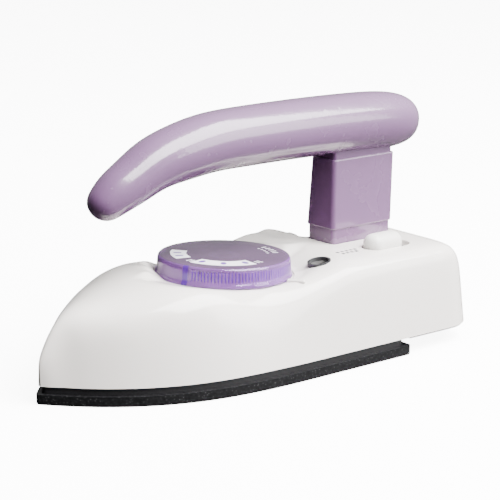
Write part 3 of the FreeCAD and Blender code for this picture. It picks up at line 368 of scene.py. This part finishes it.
# ---------------------------------------------------------------- dial
def rib_depth(angle, height):
    """How far the rim is cut in between two grip ribs."""
    turn = (angle - RIBS_FROM) % 360
    if turn > RIBS_TO - RIBS_FROM:
        return 0.0
    edge = min(1.0, turn / 1.5, (RIBS_TO - RIBS_FROM - turn) / 1.5)
    above_lip = (height - DIAL_BOTTOM - 2.0) / 0.5
    below_bevel = (DIAL_TOP - 1.3 - height) / 0.5
    fade = max(0.0, min(1.0, above_lip, below_bevel))
    across = abs(math.sin(math.radians(turn) * RIBS_PER_TURN / 2))
    return RIB_DEPTH * edge * fade * (1 - across ** 0.8)


def dial_profile():
    """Half outline of the cap as (radius, height): over the outside, then back under the top."""
    low, top, rim = DIAL_BOTTOM, DIAL_TOP, DIAL_RIM
    inner = rim - DIAL_WALL
    under = top - DIAL_WALL
    lip = [(inner, low), (DIAL_LIP - 0.15, low), (DIAL_LIP, low + 0.2), (DIAL_LIP, low + 0.95)]
    side = [(rim + 0.25, low + 1.5), (rim + 0.08, low + 2.0), (rim + 0.06, low + 2.5),
            (rim - 0.02, low + 4.0), (rim - 0.1, low + 5.6), (rim - 0.16, top - 1.8)]
    bevel = [(rim - 0.2, top - 1.3), (rim - 0.28, top - 0.95), (rim - 0.55, top - 0.45),
             (rim - 0.95, top - 0.12), (rim - 1.4, top)]
    flat = [(18.0, top), (8.0, top)]
    inside = [(8.0, under), (18.0, under), (inner - 0.4, under), (inner, under - 0.4)]
    return lip + side + bevel + flat, inside


def make_dial(material):
    """The cap: clear, ribbed round the grip side, with a bevelled rim and a flared lip."""
    outside, inside = dial_profile()
    place = dial_frame()
    columns = RIBS_PER_TURN * COLUMNS_PER_RIB
    vertices, faces = [], []
    for column in range(columns):
        angle = 360 * column / columns
        for radius, height in outside:
            cut = rib_depth(angle, height) if radius > DIAL_RIM - 1 else 0.0
            vertices.append(place @ polar(radius - cut, angle, height))
        for radius, height in inside:
            vertices.append(place @ polar(radius, angle, height))
    rows = len(outside) + len(inside)
    for column in range(columns):
        here, after = column * rows, (column + 1) % columns * rows
        for row in range(rows):
            if row != len(outside) - 1:
                onward = (row + 1) % rows
                faces.append((here + row, after + row, after + onward, here + onward))
    # Close the flat top, outside and inside, with triangles round its middle.
    for row, height in ((len(outside) - 1, DIAL_TOP), (len(outside), DIAL_TOP - DIAL_WALL)):
        centre = len(vertices)
        vertices.append(place @ Vector((0, 0, height)))
        for column in range(columns):
            here, after = column * rows + row, (column + 1) % columns * rows + row
            faces.append((here, after, centre) if height == DIAL_TOP else (after, here, centre))
    piece = new_piece("DialCap", vertices, faces, material, smooth_below=40)
    paint_dial_shade_and_reflection(piece, place)
    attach(piece, "dial")
    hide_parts("dial_cap")


def paint_dial_shade_and_reflection(piece, place):
    """Gives the grooves and the rim in front of the stop web a deeper violet as painted shade, and the
    flat top a greyer violet as a painted hazy reflection.
    """
    # Painted shade: a deeper violet on the grooves between the ribs and on the rim in front of the stop
    # web.
    painted_shade_violet = clear_violet("PaintedShadeViolet", (0.13, 0.035, 0.38), (0.10, 0.022, 0.32), 0.40)
    # Painted reflection: a greyer violet on the flat top that stands in for its hazy reflection.
    painted_reflection_violet = clear_violet("PaintedReflectionViolet", (0.15, 0.085, 0.17), (0.11, 0.060, 0.13), 0.45)
    piece.data.materials.append(painted_shade_violet)
    piece.data.materials.append(painted_reflection_violet)
    to_dial = place.inverted()
    for face in piece.data.polygons:
        centre = to_dial @ face.center
        angle = math.degrees(math.atan2(centre.y, centre.x))
        on_rim = DIAL_RIM - 1 < math.hypot(centre.x, centre.y)
        in_groove = rib_depth(angle, centre.z) > 0.4 * RIB_DEPTH
        before_web = abs(angle - WEB_ANGLE) < WEB_SHADE_REACH
        # Painted shade goes on the grooves and before the web; the flat top gets a painted reflection.
        if on_rim and (in_groove or before_web):
            face.material_index = 1
        elif not on_rim and centre.z > DIAL_TOP - 0.2:
            face.material_index = 2


def dial_bar(inner, outer, width, angle, bottom, top):
    """A straight bar that runs outwards on the dial at an angle."""
    along = polar(1, angle, 0)
    side = Vector((-along.y, along.x, 0)) * width / 2
    ends = [along * inner - side, along * outer - side, along * outer + side, along * inner + side]
    return prism([(p.x, p.y) for p in ends], bottom, top, dial_frame())


def dial_ring(inner, outer, bottom, top):
    """A flat ring about the dial's axis."""
    place = dial_frame()
    steps = 96
    corners = [(inner, bottom), (outer, bottom), (outer, top), (inner, top)]
    vertices = [place @ polar(radius, 360 * step / steps, height) for step in range(steps)
                for radius, height in corners]
    faces = []
    for step in range(steps):
        here, after = step * 4, (step + 1) % steps * 4
        for corner in range(4):
            onward = (corner + 1) % 4
            faces.append((here + corner, after + corner, after + onward, here + onward))
    return vertices, faces


def dial_oval(radius, angle, out_size, round_size, bottom, top):
    """A flat oval mark on the dial."""
    along = polar(1, angle, 0)
    side = Vector((-along.y, along.x, 0))
    steps = 20
    outline = []
    for step in range(steps):
        turn = 2 * math.pi * step / steps
        outward = radius + out_size / 2 * math.cos(turn)
        point = along * outward + side * (round_size / 2 * math.sin(turn))
        outline.append((point.x, point.y))
    return prism(outline, bottom, top, dial_frame())


def make_dial_marks():
    """Printing on the clear top: violet marks on the two white bands, and white ticks beside them."""
    low, top = DIAL_TOP + 0.1, DIAL_TOP + 0.13
    marks = [dial_oval(17.7, NEAR_BAND_ANGLE + turn, 4.2, 2.4, low, top) for turn in NEAR_MARK_TURNS]
    marks += [dial_bar(17.4, 20.6, 1.6, SIDE_BAND_ANGLE + turn, low, top) for turn in SIDE_MARK_TURNS]
    place_on_dial("DialMarks", merged(marks), moulded_plastic("MarkInk", (0.10, 0.03, 0.26), 0.4))
    low, top = DIAL_TOP, DIAL_TOP + PRINT_THICKNESS
    ticks = [dial_bar(17.5, 20.5, 0.7, angle, low, top) for angle in SINGLE_TICK_ANGLES]
    for angle in DOUBLE_TICK_ANGLES:
        ticks.append(dial_bar(20.2, 22.6, 0.6, angle, low, top))
        ticks.append(dial_bar(17.6, 18.6, 0.6, angle - 2, low, top))
    place_on_dial("DialTicks", merged(ticks), moulded_plastic("TickInk", (0.80, 0.78, 0.84), 0.4))


def make_dial_inside():
    """What shows through the cap: the stop web behind the rim, and a ring with clips under the top."""
    under = DIAL_TOP - DIAL_WALL
    inner_wall = DIAL_RIM - DIAL_WALL
    web = dial_bar(14.5, inner_wall + 0.05, 2.8, WEB_ANGLE, DIAL_BOTTOM + 1.2, under)
    place_on_dial("DialStopWeb", web, moulded_plastic("WebViolet", (0.05, 0.01, 0.18), 0.3))
    insert = dial_ring(6.8, inner_wall - 1.2, under - 0.7, under - 0.15)
    insert_violet = moulded_plastic("InsertViolet", (0.13, 0.085, 0.15), 0.4, variation=0.10)
    place_on_dial("DialInsert", insert, insert_violet)
    clips = [dial_bar(19.5, 23.0, 4.2, angle, under - 0.14, under - 0.02) for angle in CLIP_ANGLES]
    place_on_dial("DialClips", merged(clips), moulded_plastic("ClipGrey", (0.05, 0.045, 0.05), 0.5))


def place_on_dial(name, shape, material):
    """A small piece that turns with the dial."""
    vertices, faces = shape
    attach(new_piece(name, vertices, faces, material), "dial")


# ---------------------------------------------------------------- printed marks on the deck
def make_deck_marks():
    """Two short rows of generic dashes beside the release slide."""
    ink = moulded_plastic("DeckInk", (0.05, 0.05, 0.055), 0.5)
    parts = []
    for row, (y, count) in enumerate(DECK_ROWS):
        near, far = y - DASH_WIDTH / 2, y + DASH_WIDTH / 2
        for step in range(count):
            start = DECK_ROWS_START + DASH_SPACING * step + 0.7 * row
            end = start + DASH_LENGTH
            outline = [(start, near), (end, near), (end, far), (start, far)]
            parts.append(prism(outline, DECK_HEIGHT - 0.6, DECK_HEIGHT, Matrix.Scale(MM, 4)))
    vertices, faces = merged(parts)
    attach(new_piece("DeckMarks", vertices, faces, ink), "base")


# ---------------------------------------------------------------- stage, light and camera
def make_floor():
    """Large pale floor that glows to the camera alone, so that it looks evenly lit."""
    bpy.ops.mesh.primitive_circle_add(vertices=96, radius=FLOOR_RADIUS, fill_type="NGON")
    floor = bpy.context.object
    floor.name = "Floor"
    material, tree, shader = new_material("Floor")
    shade = colours(tree, noise(tree, 0.5), (0.3, (0.93, 0.93, 0.93)), (0.7, (0.95, 0.95, 0.95)))
    tree.links.new(shade, shader.inputs["Base Color"])
    shader.inputs["Roughness"].default_value = 0.9
    shader.inputs["Specular IOR Level"].default_value = 0.1
    shader.inputs["Emission Color"].default_value = (1.0, 1.0, 1.0, 1.0)
    shader.inputs["Emission Strength"].default_value = FLOOR_GLOW
    floor.data.materials.append(material)
    floor.visible_diffuse = False
    floor.visible_glossy = False


def softbox(name, place, width, height, power):
    """A rectangular soft light aimed at the iron."""
    data = bpy.data.lights.new(name, "AREA")
    data.shape = "RECTANGLE"
    data.size = width
    data.size_y = height
    data.energy = power
    light = bpy.data.objects.new(name, data)
    light.location = place
    aim = LIGHT_AIM - Vector(place)
    light.rotation_euler = aim.to_track_quat("-Z", "Y").to_euler()
    bpy.context.collection.objects.link(light)


def make_world():
    """Studio surroundings: bright overhead, dimmer low down, on the nose side and behind the iron.

    The strength is a product of three factors, one for each direction of the room.
    """
    world = bpy.data.worlds.new("Studio")
    world.use_nodes = True
    tree = world.node_tree
    background = tree.nodes["Background"]
    background.inputs["Color"].default_value = (1.0, 1.0, 1.0, 1.0)
    source = tree.nodes.new("ShaderNodeTexCoord")
    split = tree.nodes.new("ShaderNodeSeparateXYZ")
    tree.links.new(source.outputs["Generated"], split.inputs["Vector"])
    upward = remap(tree, split.outputs["Z"], 0.60, 2.5, -0.4, 0.9)
    sideways = remap(tree, split.outputs["X"], 0.05, 1.10, -0.6, 0.5)
    away = remap(tree, split.outputs["Y"], 1.05, 0.28, -0.1, 0.7)
    level = arithmetic(tree, "MULTIPLY", upward, sideways)
    tree.links.new(arithmetic(tree, "MULTIPLY", level, away), background.inputs["Strength"])
    bpy.context.scene.world = world


def make_light():
    """The studio: its surroundings, a large softbox above the near side and a fill from the right."""
    make_world()
    for name, place, width, height, power in SOFTBOXES:
        softbox(name, place, width, height, power)


def make_camera():
    """Camera at the viewing angle, looking at the middle of the iron."""
    azimuth, elevation = math.radians(CAMERA_AZIMUTH), math.radians(CAMERA_ELEVATION)
    back = Vector((math.sin(azimuth) * math.cos(elevation),
                   -math.cos(azimuth) * math.cos(elevation),
                   math.sin(elevation)))
    data = bpy.data.cameras.new("Camera")
    data.lens = CAMERA_LENS
    data.sensor_width = 36.0
    data.clip_start = 0.01
    data.clip_end = 50.0
    camera = bpy.data.objects.new("Camera", data)
    camera.location = Vector(CAMERA_TARGET) + back * CAMERA_DISTANCE
    camera.rotation_euler = (-back).to_track_quat("-Z", "Y").to_euler()
    bpy.context.collection.objects.link(camera)
    bpy.context.scene.camera = camera


looks = dress_frame()
make_dial(looks["violet_clear"])
make_dial_marks()
make_dial_inside()
make_deck_marks()
make_floor()
make_light()
make_camera()
